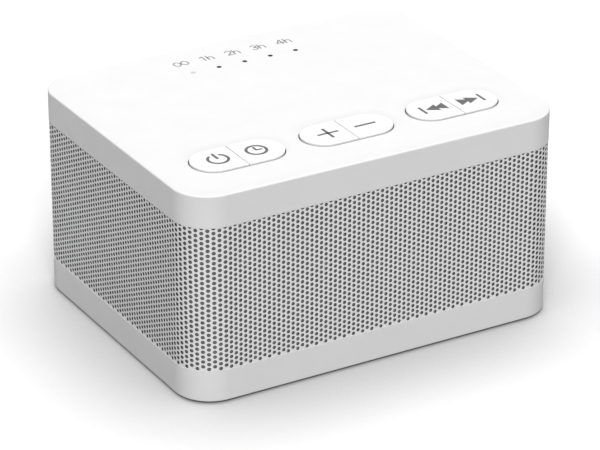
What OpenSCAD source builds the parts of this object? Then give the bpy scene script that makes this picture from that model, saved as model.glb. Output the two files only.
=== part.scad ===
// White noise sound machine: a rounded block with a perforated metal grille all
// round, six push keys in three pill-shaped pairs and five indicators on top.
// Millimetres, +Z up, front towards -Y, origin on the floor at the centre.

/* [Housing] */
// Width of the housing, left to right
body_w = 104; // [100:1:130]
// Depth of the housing, front to back
body_d = 82.5; // [80:0.5:110]
// Height from the floor to the top face
body_h = 54.8; // [54:0.2:70]
// Radius of the four upright corners
corner_r = 9.5; // [8.5:0.5:11]
// Round along the outer edge of the top face and of the underside
edge_r = 0.4; // [0.2:0.1:0.8]
// Height of the top cover's plain band
cover_band = 8.3; // [7.8:0.1:9]
// Height of the bottom tray's plain band
tray_band = 8.2; // [7.4:0.1:9]
// Moulded wall of the cover and the tray
wall = 2.2; // [2:0.1:2.6]
// Thickness of the cover's top plate
plate_t = 2; // [1.6:0.1:2.4]
// Thickness of the tray's floor
floor_t = 2.4; // [2.2:0.1:2.6]
// Height of the tongue that each moulding puts behind the grille
tongue_h = 2.5; // [1.5:0.1:3.5]
// Flat gap between housing parts that are butted together
seam_gap = 0.1; // [0.05:0.05:0.2]

/* [Base pad] */
// Height that the pad lifts the tray off the floor
pad_gap = 0.6; // [0.3:0.1:1]
// Depth of the pad's seat in the tray
pad_seat = 0.6; // [0.4:0.1:0.8]
// Distance from the housing's outline to the pad's edge
pad_inset = 1; // [0.8:0.1:3]
// Play round the pad in its seat
pad_play = 0.15; // [0.1:0.05:0.3]

/* [Grille] */
// Thickness of the perforated sheet
sheet_t = 0.4; // [0.3:0.1:0.8]
// Distance that the sheet lies behind the faces of the two bands
sheet_set = 0.1; // [0:0.05:0.2]
// Distance from hole to hole in a column, and from column to column
hole_pitch = 2.6; // [2.4:0.1:6]
// Diameter of a hole
hole_d = 1.7; // [1.2:0.1:1.8]
// Thickness of the dust cloth behind the sheet
cloth_t = 0.3; // [0.2:0.05:0.4]
// Play on each side of the cloth
cloth_play = 0.05; // [0.02:0.01:0.1]

/* [Keys] */
// Length of a pair of keys, over both round ends
pill_l = 24.5; // [22:0.1:25.5]
// Width of a key, which is also the diameter of its round end
pill_w = 11.9; // [10:0.1:12.5]
// Distance between the centres of neighbouring pairs
pill_pitch = 30.2; // [29.8:0.1:32]
// Distance from the front face to the pairs' centre line
pill_y = 17.3; // [16.8:0.1:20]
// Height that the keys stand above the top face
key_proud = 0.6; // [0.5:0.1:1.2]
// Travel of a key
key_travel = 0.4; // [0.2:0.05:0.45]
// Slit between the two keys of a pair
key_slit = 0.2; // [0.15:0.05:0.6]
// Play between a key and its aperture
key_play = 0.25; // [0.1:0.05:0.3]
// Round along a key's upper edge
key_round = 0.15; // [0.1:0.05:0.45]
// Thickness of the lip that holds a key in from below
lip_t = 0.8; // [0.6:0.1:1]
// Width of that lip
lip_w = 0.8; // [0.6:0.1:0.9]
// Wall of a key's hollow cap
cap_wall = 1.2; // [1:0.1:1.5]
// Distance between the two switches of a pair
switch_pitch = 10.4; // [9.5:0.1:11]

/* [Indicators] */
// Number of indicators
lamp_count = 5; // [5]
// Distance between neighbouring indicators
lamp_pitch = 7.43; // [5:0.1:9]
// Distance from the back face to the row of indicators
lamp_back = 14.75; // [13:0.05:18]
// Diameter of an indicator
lamp_d = 1.2; // [1:0.1:2]

/* [Electronics] */
// Height of the key switches' bodies
switch_h = 3.5; // [3:0.1:4]
// Side of a key switch's body
switch_side = 6; // [5:0.1:6.5]
// Diameter of the switches' plungers
plunger_d = 3.4; // [2.5:0.1:4]
// Thickness of the circuit boards
board_t = 1.6; // [1:0.1:1.8]
// Distance from the top plate's underside to the control board
board_drop = 6.4; // [6.2:0.1:6.8]
// Distance from the housing's sides to the control board's edge
board_edge = 9; // [8.5:0.1:9.5]
// Width of the power board
power_board_w = 58; // [56:1:64]
// Depth of the power board
power_board_d = 12; // [11:0.5:13]
// Width of the power inlet's shell
inlet_w = 8.9; // [8:0.1:10]
// Height of the power inlet's shell
inlet_h = 3.2; // [2.8:0.1:3.4]
// Length of the power inlet's shell
inlet_l = 7.4; // [6:0.1:9]

/* [Driver] */
// Distance from the driver's back to the control board
driver_clear = 2.9; // [2:0.1:3.5]
// Thickness of the baffle
baffle_t = 2; // [1.5:0.1:2.2]
// Radius of the cone at its wide end
cone_r = 18.4; // [17:0.1:19]
// Depth of the cone
cone_depth = 5; // [4:0.1:6]
// Width of the surround's half roll
roll_w = 4; // [3.5:0.1:4.4]
// Play round the surround in the baffle's opening
roll_play = 1.1; // [1:0.1:1.4]
// Height of the basket from its flange to its seat for the magnet
basket_h = 10; // [9.5:0.1:11]
// Distance from the screws' axes to the flange's edge
flange_rim = 3.2; // [3:0.1:4]
// Outer radius of the voice coil
coil_r = 6.95; // [6.5:0.05:7.2]
// Travel of the cone each way
cone_travel = 0.8; // [0.4:0.1:1]
// Outer radius of the ring magnet
magnet_r = 16; // [15:0.1:18]
// Thickness of the ring magnet
magnet_t = 4; // [3:0.1:4.2]

/* [Fasteners] */
// Distance from the housing's sides to the axis of a corner screw
boss_inset = 7.2; // [7:0.1:7.4]
// Outer diameter of a corner boss
boss_d = 6; // [5.6:0.1:6.2]
// Diameter of the long housing screws
screw_d = 2.6; // [2:0.1:2.8]
// Play round a screw in the hole that it is driven into
screw_fit = 0.05; // [0.02:0.01:0.1]
// Play round a screw in the holes that it passes through
screw_play = 0.3; // [0.2:0.05:0.4]

/* [Hidden] */
$fn = 64;
cut = 1;

shell_white = [0.95, 0.95, 0.94];
dark = [0.12, 0.12, 0.13];
steel = [0.72, 0.73, 0.75];
board_green = [0.1, 0.36, 0.2];

// Levels of the housing
tray_top = pad_gap + tray_band;
tray_floor = pad_gap + floor_t;
cover_bottom = body_h - cover_band;
plate_under = body_h - plate_t;
pad_top = pad_gap + pad_seat;
sleeve_low = tray_top + seam_gap;
sleeve_high = cover_bottom - seam_gap;
frame_low = tray_top + tongue_h + seam_gap;
frame_high = cover_bottom - tongue_h - seam_gap;

// Insets from the housing's outline, from the outside in
cloth_inset = sheet_set + sheet_t + cloth_play;
tongue_inset = cloth_inset + cloth_t + cloth_play;
tongue_t = wall - tongue_inset + 0.4;
frame_inset = tongue_inset + tongue_t;
sink = 0.1;
web_t = 1.6;
boss_web = boss_d / 2 + 1.4;
boss_x = body_w / 2 - boss_inset;
boss_y = body_d / 2 - boss_inset;
rib_t = 1.2;
rib_h = 2.5;
rib_x = 22;

// Keys
key_row_y = pill_y - body_d / 2;
key_top = body_h + key_proud;
lip_gap = 0.1;
lip_top = plate_under - lip_gap;
lip_low = lip_top - lip_t;
collar_play = 0.35;
collar_t = 1;
collar_h = 2.6;
stem_d = plunger_d - 0.4;
lamp_y = body_d / 2 - lamp_back;

// Boards and switches
board_top = plate_under - board_drop;
board_low = board_top - board_t;
switch_top = board_top + switch_h;
plunger_high = switch_top + key_travel + 0.4;
plunger_low = switch_top - 0.9;
well_low = plunger_low - key_travel - 0.1;
well_play = 0.15;
board_w = body_w - 2 * board_edge;
board_d = body_d - 2 * board_edge;
stake_edge = 4.5;
stake_behind_keys = 15;
stake_before_lamps = 5;
stake_x = board_w / 2 - stake_edge;
stake_front = key_row_y + stake_behind_keys;
stake_back = lamp_y - stake_before_lamps;
post_d = 4;
stake_d = 1.8;
stake_play = 0.1;
stake_head = 3.4;
stake_cap = 0.8;
led_side = 1.6;
led_h = 0.8;
lens_gap = 0.2;
lens_play = 0.05;
guide_d = lamp_d + 1.2;
chip = [7, 7, 1];
chip_x = board_w / 4;

// Power inlet, hung under its board behind the tray's rear wall
inlet_z = tray_floor + 0.2 + inlet_h / 2;
inlet_mouth = body_d / 2 - 0.85;
inlet_play = 0.2;
inlet_wall = 0.3;
power_board_t = 1.2;
power_board_y = body_d / 2 - frame_inset - 0.3 - power_board_d / 2;
power_board_z = inlet_z + inlet_h / 2;
rest_t = 2;
ribbon_from_end = 5;
ribbon_x = power_board_w / 2 - ribbon_from_end;
ribbon_y = power_board_y - power_board_d / 3;
ribbon_w = 8;
ribbon_t = 0.8;
plug_h = 3;
plug_play = 1;

// Driver, facing down through the baffle
gasket_t = 0.5;
flange_t = 1;
seat_t = 1;
front_plate_t = 2;
yoke_t = 2;
magnet_top = board_low - driver_clear - yoke_t;
front_plate_top = magnet_top - magnet_t;
seat_top = front_plate_top - front_plate_t;
flange_low = seat_top - seat_t - basket_h;
flange_top = flange_low + flange_t;
baffle_top = flange_low - gasket_t;
baffle_z = baffle_top - baffle_t;
roll_t = 0.4;
surround_r = cone_r + roll_w;
baffle_r = surround_r + roll_play;
basket_wall = 1;
plate_r = 2 * coil_r;
seat_r = plate_r + 1;
coil_gap = 0.35;
coil_t = 0.3;
pole_r = coil_r - coil_t - coil_gap;
yoke_r = magnet_r - 1;
ledge_r = plate_r + 0.6;
ledge_z = flange_low + 0.74 * basket_h;
ledge_t = 0.6;
window_past_plate = 3;
driver_screw_d = 2.4;
driver_screw_l = 7;
screw_tube_wall = 1.5;
driver_head_d = 4.4;
driver_head_h = 1.6;
driver_screw_r = surround_r + basket_wall + driver_head_d / 2 + 0.6;
flange_r = driver_screw_r + flange_rim;
lead_d = 1.2;
lead_x = 2.5;
lead_y = driver_screw_r + 0.9;
tab_t = 1.2;
tab_w = 2.2;
deflector_r = 22;
deflector_tip = 2;
deflector_under_baffle = 3.5;
deflector_h = baffle_z - tray_floor - deflector_under_baffle;

// Housing screws
screw_head_d = 5;
screw_head_h = 2;
screw_head_low = pad_top + 0.1;
screw_head_top = screw_head_low + screw_head_h;
screw_tip = plate_under - 2.4;
seat_play = 0.3;

// Outline of the housing moved inwards by inset
module outline(inset) {
  r = corner_r - inset;
  x = body_w / 2 - corner_r;
  y = body_d / 2 - corner_r;
  square([2 * x, 2 * (y + r)], center = true);
  square([2 * (x + r), 2 * y], center = true);
  for (sx = [-1, 1], sy = [-1, 1])
    translate([sx * x, sy * y])
      circle(r);
}

module outline_ring(inset, t) {
  difference() {
    outline(inset);
    outline(inset + t);
  }
}

// Half of an upright section: r wide, h high, with its upper outer edge rounded
module edge_section(r, h, round) {
  square([r, h - round]);
  square([r - round, h]);
  translate([r - round, h - round])
    circle(round);
}

// Block of height h on the housing's outline, with its upper edge rounded
module edge_block(h) {
  x = body_w / 2 - corner_r;
  y = body_d / 2 - corner_r;
  for (side = [0, 1])
    mirror([0, side, 0])
      rotate([90, 0, 90])
        translate([0, 0, -x])
          linear_extrude(2 * x)
            edge_section(body_d / 2, h, edge_r);
  for (side = [0, 1])
    mirror([side, 0, 0])
      rotate([90, 0, 0])
        translate([0, 0, -y])
          linear_extrude(2 * y)
            edge_section(body_w / 2, h, edge_r);
  for (sx = [0, 1], sy = [0, 1])
    mirror([sx, 0, 0])
      mirror([0, sy, 0])
        translate([x, y, 0])
          rotate_extrude(angle = 90)
            edge_section(corner_r, h, edge_r);
}

module at_bosses() {
  for (sx = [0, 1], sy = [0, 1])
    mirror([sx, 0, 0])
      mirror([0, sy, 0])
        translate([boss_x, boss_y, 0])
          children();
}

// Tube on a corner boss's axis with a web to the housing's corner
module boss(low, high) {
  translate([0, 0, low])
    linear_extrude(high - low) {
      circle(d = boss_d);
      rotate(45)
        translate([0, -web_t / 2])
          square([boss_web, web_t]);
    }
}

module bottom_tray() {
  color(shell_white)
    difference() {
      union() {
        difference() {
          translate([0, 0, tray_top])
            mirror([0, 0, 1])
              edge_block(tray_band);
          translate([0, 0, tray_floor])
            linear_extrude(tray_band)
              outline(wall);
        }
        translate([0, 0, tray_floor])
          linear_extrude(tray_top + tongue_h - tray_floor)
            outline_ring(tongue_inset, tongue_t);
        at_bosses()
          boss(tray_floor - sink, frame_low - seam_gap);
        deflector();
        tray_ribs();
        inlet_rests();
      }
      translate([0, 0, pad_gap - cut])
        linear_extrude(pad_seat + cut)
          outline(pad_inset - pad_play);
      at_bosses() {
        cylinder(d = screw_d + 2 * screw_play, h = frame_low + cut);
        cylinder(d = screw_head_d + 2 * seat_play, h = screw_head_top);
      }
      inlet_slot();
    }
}

// Horn-shaped cone under the driver that turns its sound out to the sides
module deflector() {
  run = deflector_r - deflector_tip;
  flare_r = (pow(run, 2) + pow(deflector_h, 2)) / (2 * deflector_h);
  translate([0, 0, tray_floor - sink])
    rotate_extrude($fn = 96)
      difference() {
        square([deflector_r, deflector_h + sink]);
        translate([deflector_r, flare_r + sink])
          circle(flare_r, $fn = 96);
      }
}

// Ribs on the tray's floor from the deflector to the front and the sides
module tray_ribs() {
  start = deflector_r - 2;
  for (a = [180 : 90 : 360]) {
    reach = (a == 270 ? body_d : body_w) / 2 - wall;
    rotate(a)
      translate([start, -rib_t / 2, tray_floor - sink])
        cube([reach - start, rib_t, rib_h + sink]);
  }
}

// Two ribs that carry the power board above the inlet
module inlet_rests() {
  for (s = [-1, 1])
    translate([s * (power_board_w / 2 - rest_t / 2) - rest_t / 2,
               power_board_y - power_board_d / 2, tray_floor - sink])
      cube([rest_t, power_board_d, power_board_z - tray_floor + sink]);
}

module inlet_outline(play) {
  r = inlet_h / 2 + play;
  x = inlet_w / 2 - inlet_h / 2;
  square([2 * x, 2 * r], center = true);
  for (s = [-1, 1])
    translate([s * x, 0])
      circle(r);
}

module inlet_slot() {
  translate([0, body_d / 2 + cut, inlet_z])
    rotate([90, 0, 0])
      linear_extrude(2 * wall + cut)
        inlet_outline(inlet_play);
}

module base_pad() {
  color(dark)
    linear_extrude(pad_top)
      outline(pad_inset);
}

// Perforated sheet

arc_l = PI * corner_r / 2;
flat_x = body_w - 2 * corner_r;
flat_y = body_d - 2 * corner_r;
around = 2 * (flat_x + flat_y) + 4 * arc_l;
column_count = 2 * round(around / hole_pitch / 2);
row_count = floor((sleeve_high - sleeve_low) / hole_pitch);

// Puts its child on the housing's outline, s along it from the front's middle,
// with +X pointing outwards; it knows one half, and the other is turned over
module on_outline(s) {
  half = around / 2;
  along = s % half;
  x = body_w / 2 - corner_r;
  y = body_d / 2 - corner_r;
  front_end = flat_x / 2;
  side_start = front_end + arc_l;
  side_end = side_start + flat_y;
  back_start = side_end + arc_l;
  rotate(s < half ? 0 : 180)
    if (along < front_end)
      translate([along, -body_d / 2])
        rotate(-90)
          children();
    else if (along < side_start)
      translate([x, -y])
        rotate(-90 + (along - front_end) / arc_l * 90)
          translate([corner_r, 0])
            children();
    else if (along < side_end)
      translate([body_w / 2, -flat_y / 2 + along - side_start])
        children();
    else if (along < back_start)
      translate([x, y])
        rotate((along - side_end) / arc_l * 90)
          translate([corner_r, 0])
            children();
    else
      translate([flat_x / 2 - along + back_start, body_d / 2])
        rotate(90)
          children();
}

module grille_sleeve() {
  middle = (sleeve_low + sleeve_high) / 2;
  color(steel)
    difference() {
      translate([0, 0, sleeve_low])
        linear_extrude(sleeve_high - sleeve_low)
          outline_ring(sheet_set, sheet_t);
      for (i = [0 : column_count - 1]) {
        rows = row_count - i % 2;
        on_outline(i * around / column_count)
          for (j = [0 : rows - 1])
            translate([-sheet_set - sheet_t - cut, 0, middle + (j - (rows - 1) / 2) * hole_pitch])
              rotate([0, 90, 0])
                cylinder(d = hole_d, h = sheet_t + 2 * cut, $fn = 16);
      }
    }
}

module dust_cloth() {
  color(dark)
    translate([0, 0, sleeve_low])
      linear_extrude(sleeve_high - sleeve_low)
        outline_ring(cloth_inset, cloth_t);
}

// Open frame inside the grille with the driver's baffle across it
module inner_frame() {
  rail = 2;
  post = 4;
  corner_post = corner_r + 1.5;
  long_n = 3;
  short_n = 2;
  window_h = frame_high - frame_low - 2 * rail;
  long_w = (body_w - 2 * corner_post - (long_n - 1) * post) / long_n;
  short_w = (body_d - 2 * corner_post - (short_n - 1) * post) / short_n;
  color(dark)
    difference() {
      union() {
        translate([0, 0, frame_low])
          linear_extrude(frame_high - frame_low)
            outline_ring(tongue_inset, tongue_t);
        translate([0, 0, baffle_z])
          linear_extrude(baffle_t)
            outline(tongue_inset + tongue_t / 2);
        at_bosses()
          boss(frame_low, frame_high);
        at_driver_screws(baffle_top - driver_screw_l, driver_screw_l - cut / 2)
          circle(d = driver_screw_d + 2 * screw_tube_wall);
      }
      for (i = [0 : long_n - 1])
        translate([(i - (long_n - 1) / 2) * (long_w + post), 0, frame_low + rail + window_h / 2])
          frame_windows([long_w, body_d + cut, window_h], body_d - 2 * frame_inset);
      for (i = [0 : short_n - 1])
        translate([0, (i - (short_n - 1) / 2) * (short_w + post), frame_low + rail + window_h / 2])
          rotate(90)
            frame_windows([short_w, body_w + cut, window_h], body_w - 2 * frame_inset);
      translate([0, 0, baffle_z - cut])
        cylinder(r = baffle_r, h = baffle_t + 2 * cut, $fn = 96);
      at_driver_screws(baffle_top - driver_screw_l - cut, driver_screw_l + 2 * cut)
        circle(d = driver_screw_d + 2 * screw_fit);
      at_bosses()
        cylinder(d = screw_d + 2 * screw_play, h = body_h);
      translate([ribbon_x, ribbon_y, baffle_z + baffle_t / 2])
        cube([ribbon_w + 2 * plug_play, ribbon_t + 2 * plug_play, baffle_t + 2 * cut], center = true);
    }
}

// A window through two facing walls of the frame, which leaves the baffle whole
module frame_windows(size, clear) {
  for (s = [-1, 1])
    translate([-size[0] / 2, s > 0 ? clear / 2 : -size[1] / 2, -size[2] / 2])
      cube([size[0], (size[1] - clear) / 2, size[2]]);
}

module at_driver_screws(low, h) {
  for (a = [45 : 90 : 315])
    rotate(a)
      translate([driver_screw_r, 0, low])
        linear_extrude(h)
          children();
}

// Top cover, with the keys' apertures and collars, the indicators' holes, the
// corner bosses and the staked posts that hold the control board

module pill_outline(grow) {
  r = pill_w / 2 + grow;
  x = pill_l / 2 - pill_w / 2;
  square([2 * x, 2 * r], center = true);
  for (s = [-1, 1])
    translate([s * x, 0])
      circle(r);
}

module at_pills() {
  for (i = [-1 : 1])
    translate([i * pill_pitch, key_row_y, 0])
      children();
}

module at_stakes() {
  for (s = [-1, 1], y = [stake_front, stake_back])
    translate([s * stake_x, y, 0])
      children();
}

module top_cover() {
  collar_in = lip_w + collar_play;
  color(shell_white)
    difference() {
      union() {
        difference() {
          translate([0, 0, cover_bottom])
            edge_block(cover_band);
          translate([0, 0, cover_bottom - cut])
            linear_extrude(cover_band - plate_t + cut)
              outline(wall);
        }
        translate([0, 0, cover_bottom - tongue_h])
          linear_extrude(plate_under - cover_bottom + tongue_h)
            outline_ring(tongue_inset, tongue_t);
        at_pills()
          translate([0, 0, plate_under - collar_h])
            linear_extrude(collar_h)
              difference() {
                pill_outline(collar_in + collar_t);
                pill_outline(collar_in);
              }
        at_bosses()
          boss(frame_high + seam_gap, plate_under + sink);
        at_stakes() {
          translate([0, 0, board_top])
            cylinder(d = post_d, h = board_drop + sink);
          translate([0, 0, board_low - sink])
            cylinder(d = stake_d, h = board_t + 2 * sink);
          translate([0, 0, board_low - stake_cap])
            cylinder(d1 = stake_d, d2 = stake_head, h = stake_cap);
        }
        for (s = [-1, 1])
          translate([s * rib_x - rib_t / 2, stake_front, plate_under - rib_h])
            cube([rib_t, body_d / 2 - wall - stake_front, rib_h + sink]);
      }
      at_pills()
        translate([0, 0, plate_under - cut])
          linear_extrude(plate_t + 2 * cut)
            pill_outline(key_play);
      at_lamps()
        translate([0, 0, plate_under - cut])
          cylinder(d = lamp_d + 2 * lens_play, h = plate_t + 2 * cut);
      at_bosses()
        cylinder(d = screw_d + 2 * screw_fit, h = screw_tip + 0.4);
    }
}

module at_lamps() {
  for (i = [0 : lamp_count - 1])
    at_lamp(i)
      children();
}

module at_lamp(i) {
  translate([(i - (lamp_count - 1) / 2) * lamp_pitch, lamp_y, 0])
    children();
}

// Half a pill, flat towards its pair, with a rounded upper edge
module half_pill(low, high, grow, round) {
  r = pill_w / 2 + grow;
  x = pill_l / 2 - pill_w / 2;
  translate([0, 0, low]) {
    translate([x, 0, 0])
      rotate(-90)
        rotate_extrude(angle = 180)
          edge_section(r, high - low, round);
    for (side = [0, 1])
      mirror([0, side, 0])
        rotate([90, 0, 90])
          translate([0, 0, key_slit / 2])
            linear_extrude(x - key_slit / 2)
              edge_section(r, high - low, round);
  }
}

// Right half of a pill's outline, with its flat side moved in as well
module half_outline(grow, flat) {
  intersection() {
    pill_outline(grow);
    translate([key_slit / 2 + flat, -pill_w])
      square([pill_l, 2 * pill_w]);
  }
}

// Key: its hollow cap, the lip below the top plate and the stem on the switch
module key(pair, side) {
  ceiling = key_top - cap_wall;
  color(shell_white)
    translate([pair * pill_pitch, key_row_y, 0])
      mirror([side < 0 ? 1 : 0, 0, 0]) {
        difference() {
          union() {
            half_pill(lip_low, key_top, 0, key_round);
            translate([0, 0, lip_low])
              linear_extrude(lip_t)
                half_outline(lip_w, 0);
          }
          translate([0, 0, lip_low - cut])
            linear_extrude(ceiling - lip_low + cut)
              half_outline(-cap_wall, cap_wall);
        }
        translate([switch_pitch / 2, 0, plunger_high])
          cylinder(d = stem_d, h = ceiling - plunger_high + sink);
      }
}

module at_switch(pair, side) {
  translate([pair * pill_pitch + side * switch_pitch / 2, key_row_y, 0])
    children();
}

module plunger(pair, side) {
  color(dark)
    at_switch(pair, side)
      translate([0, 0, plunger_low])
        cylinder(d = plunger_d, h = plunger_high - plunger_low);
}

module switch(pair, side) {
  rivet = 1;
  color([0.25, 0.25, 0.27])
    at_switch(pair, side)
      difference() {
        union() {
          translate([-switch_side / 2, -switch_side / 2, board_top])
            cube([switch_side, switch_side, switch_h]);
          for (x = [-1, 1], y = [-1, 1])
            translate([x, y, 0] * (switch_side / 2 - rivet) + [0, 0, switch_top - 0.1])
              cylinder(d = rivet, h = 0.3);
        }
        translate([0, 0, well_low])
          cylinder(d = plunger_d + 2 * well_play, h = switch_h);
      }
}

// Light guide: a thin rod to the top face on a wider stalk over its lamp
module lens(i) {
  color(i == 0 ? [0.95, 0.93, 0.85] : [0.1, 0.1, 0.1])
    at_lamp(i) {
      translate([0, 0, board_top + led_h + lens_gap])
        cylinder(d = guide_d, h = plate_under - board_top - led_h - lens_gap);
      translate([0, 0, plate_under - sink])
        cylinder(d = lamp_d, h = plate_t + sink);
    }
}

module led(i) {
  color([0.95, 0.9, 0.6])
    at_lamp(i)
      translate([-led_side / 2, -led_side / 2, board_top])
        cube([led_side, led_side, led_h]);
}

module control_board() {
  color(board_green)
    difference() {
      union() {
        translate([0, 0, board_low])
          linear_extrude(board_t)
            square([board_w, board_d], center = true);
        translate([chip_x, 0, board_low - chip[2]])
          cube([chip[0], chip[1], chip[2] + sink]);
      }
      at_bosses()
        translate([0, 0, board_low - cut])
          cylinder(d = boss_d + 1.4, h = board_t + 2 * cut);
      at_stakes()
        translate([0, 0, board_low - cut])
          cylinder(d = stake_d + 2 * stake_play, h = board_t + 2 * cut);
    }
}

module power_board() {
  color(board_green)
    translate([-power_board_w / 2, power_board_y - power_board_d / 2, power_board_z])
      cube([power_board_w, power_board_d, power_board_t]);
}

// Oval socket shell with its contact tongue
module power_inlet() {
  tongue = [inlet_w - 2.4, inlet_l - 1, 0.7];
  back_t = 1;
  color(steel)
    translate([0, inlet_mouth, inlet_z]) {
      rotate([90, 0, 0])
        difference() {
          linear_extrude(inlet_l)
            inlet_outline(0);
          translate([0, 0, -cut])
            linear_extrude(inlet_l - back_t + cut)
              inlet_outline(-inlet_wall);
        }
      translate([-tongue[0] / 2, sink - inlet_l, -tongue[2] / 2])
        cube(tongue);
    }
}

// Flat lead with a plug at each end, from the power board to the control board
module power_ribbon() {
  low = power_board_z + power_board_t;
  plug = [ribbon_w + 1, ribbon_t + 1.4, plug_h];
  color([0.8, 0.8, 0.78])
    translate([ribbon_x, ribbon_y, 0]) {
      translate([-ribbon_w / 2, -ribbon_t / 2, low])
        cube([ribbon_w, ribbon_t, board_low - low]);
      for (z = [low, board_low - plug_h])
        translate([-plug[0] / 2, -plug[1] / 2, z])
          cube(plug);
    }
}

// Driver

module driver_basket() {
  window_w = plate_r + window_past_plate;
  window_low = flange_top + 1.2;
  window_high = ledge_z - ledge_t - 0.4;
  wide = surround_r + basket_wall;
  color(dark)
    difference() {
      union() {
        rotate_extrude($fn = 96) {
          translate([surround_r - 0.1, flange_low])
            square([flange_r - surround_r + 0.1, flange_t]);
          polygon([
            [surround_r - 0.1, flange_top - 0.5], [wide, flange_top - 0.5],
            [seat_r, seat_top - seat_t / 2], [seat_r - basket_wall, seat_top - seat_t / 2]
          ]);
          translate([coil_r + 1.2, seat_top - seat_t])
            square([seat_r - coil_r - 1.2, seat_t]);
          translate([ledge_r, ledge_z - ledge_t])
            square([basket_wall + 1.4, ledge_t]);
        }
        translate([-lead_x - tab_w, -lead_y - tab_w / 2, flange_top - sink])
          cube([2 * (lead_x + tab_w), tab_w, tab_t + sink]);
      }
      for (a = [0 : 90 : 270])
        rotate(a + 45)
          translate([ledge_r, -window_w / 2, window_low])
            cube([flange_r - ledge_r, window_w, window_high - window_low]);
      at_driver_screws(flange_low - cut, flange_t + 2 * cut)
        circle(d = driver_screw_d + 2 * screw_play);
    }
}

module driver_gasket() {
  color(dark)
    translate([0, 0, baffle_top])
      linear_extrude(gasket_t)
        difference() {
          circle(flange_r - 0.4, $fn = 96);
          circle(baffle_r + 0.4, $fn = 96);
          for (a = [45 : 90 : 315])
            rotate(a)
              translate([driver_screw_r, 0])
                circle(d = driver_screw_d + 2 * screw_play);
        }
}

// Half roll between the cone and the basket
module driver_surround() {
  middle = cone_r + roll_w / 2;
  color([0.2, 0.2, 0.2])
    rotate_extrude($fn = 96) {
      translate([middle, flange_low])
        difference() {
          circle(roll_w / 2);
          circle(roll_w / 2 - roll_t);
          translate([-roll_w, 0])
            square([2 * roll_w, roll_w]);
        }
      translate([surround_r - roll_t, flange_low - roll_t])
        square([roll_t + 0.9, roll_t]);
    }
}

module driver_cone() {
  t = 0.5;
  color([0.3, 0.3, 0.31])
    rotate_extrude($fn = 96)
      polygon([
        [cone_r, flange_low], [cone_r, flange_low + t],
        [coil_r, flange_low + t + cone_depth], [coil_r, flange_low + cone_depth]
      ]);
}

// Shallow dome over the end of the coil
module driver_dust_cap() {
  dome_r = 11;
  t = 0.4;
  rim = coil_r - 0.05;
  high = flange_low + cone_depth - 0.05;
  centre = high + sqrt(pow(dome_r, 2) - pow(rim, 2));
  color([0.16, 0.16, 0.17])
    rotate_extrude($fn = 96)
      intersection() {
        translate([0, centre])
          difference() {
            circle(dome_r, $fn = 96);
            circle(dome_r - t, $fn = 96);
          }
        translate([0, centre - dome_r])
          square([rim, dome_r - centre + high]);
      }
}

module driver_coil() {
  low = flange_low + cone_depth;
  color([0.75, 0.45, 0.2])
    translate([0, 0, low])
      linear_extrude(front_plate_top + 1.2 - low)
        difference() {
          circle(coil_r);
          circle(coil_r - coil_t);
        }
}

// Corrugated disc that centres the coil, with a flat rim on the basket's ledge
module driver_spider() {
  waves = 3;
  steps = 8;
  t = 0.3;
  swing = 0.5;
  wave_end = ledge_r - 0.3;
  rim = ledge_r + 1.2;
  n = waves * steps;
  function wave(k) = ledge_z + t / 2 + swing * sin(360 * k / steps);
  function at(k) = coil_r + (wave_end - coil_r) * k / n;
  color([0.75, 0.6, 0.35])
    rotate_extrude($fn = 96)
      polygon(concat(
        [for (k = [0 : n]) [at(k), wave(k) + t / 2]],
        [[rim, ledge_z + t], [rim, ledge_z]],
        [for (k = [n : -1 : 0]) [at(k), wave(k) - t / 2]]
      ));
}

module driver_ring(r, hole, low, t) {
  translate([0, 0, low])
    linear_extrude(t)
      difference() {
        circle(r, $fn = 96);
        circle(hole, $fn = 96);
      }
}

module driver_front_plate() {
  color(steel)
    driver_ring(plate_r, coil_r + coil_gap, seat_top, front_plate_t);
}

module driver_magnet() {
  color([0.2, 0.2, 0.22])
    driver_ring(magnet_r, coil_r + 2, front_plate_top, magnet_t);
}

module driver_yoke() {
  color(steel) {
    translate([0, 0, magnet_top])
      cylinder(r = yoke_r, h = yoke_t, $fn = 96);
    translate([0, 0, seat_top])
      cylinder(r = pole_r, h = magnet_top - seat_top + sink);
  }
}

module driver_lead(side) {
  low = flange_top + tab_t;
  color(side < 0 ? [0.7, 0.1, 0.1] : dark)
    translate([side * lead_x, -lead_y, low])
      cylinder(d = lead_d, h = board_low - low);
}

// Pan-head screw with its axis up and its head below z = 0
module driver_screw(i) {
  color(steel)
    rotate(45 + 90 * i)
      translate([driver_screw_r, 0, flange_top]) {
        cylinder(d = driver_head_d, h = driver_head_h);
        translate([0, 0, -driver_screw_l])
          cylinder(d = driver_screw_d, h = driver_screw_l + sink);
      }
}

module housing_screw(i) {
  sx = i == 1 || i == 3 ? -1 : 1;
  sy = i < 3 ? -1 : 1;
  color(steel)
    translate([sx * boss_x, sy * boss_y, screw_head_low]) {
      cylinder(d = screw_head_d, h = screw_head_h);
      cylinder(d = screw_d, h = screw_tip - screw_head_low);
    }
}

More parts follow.
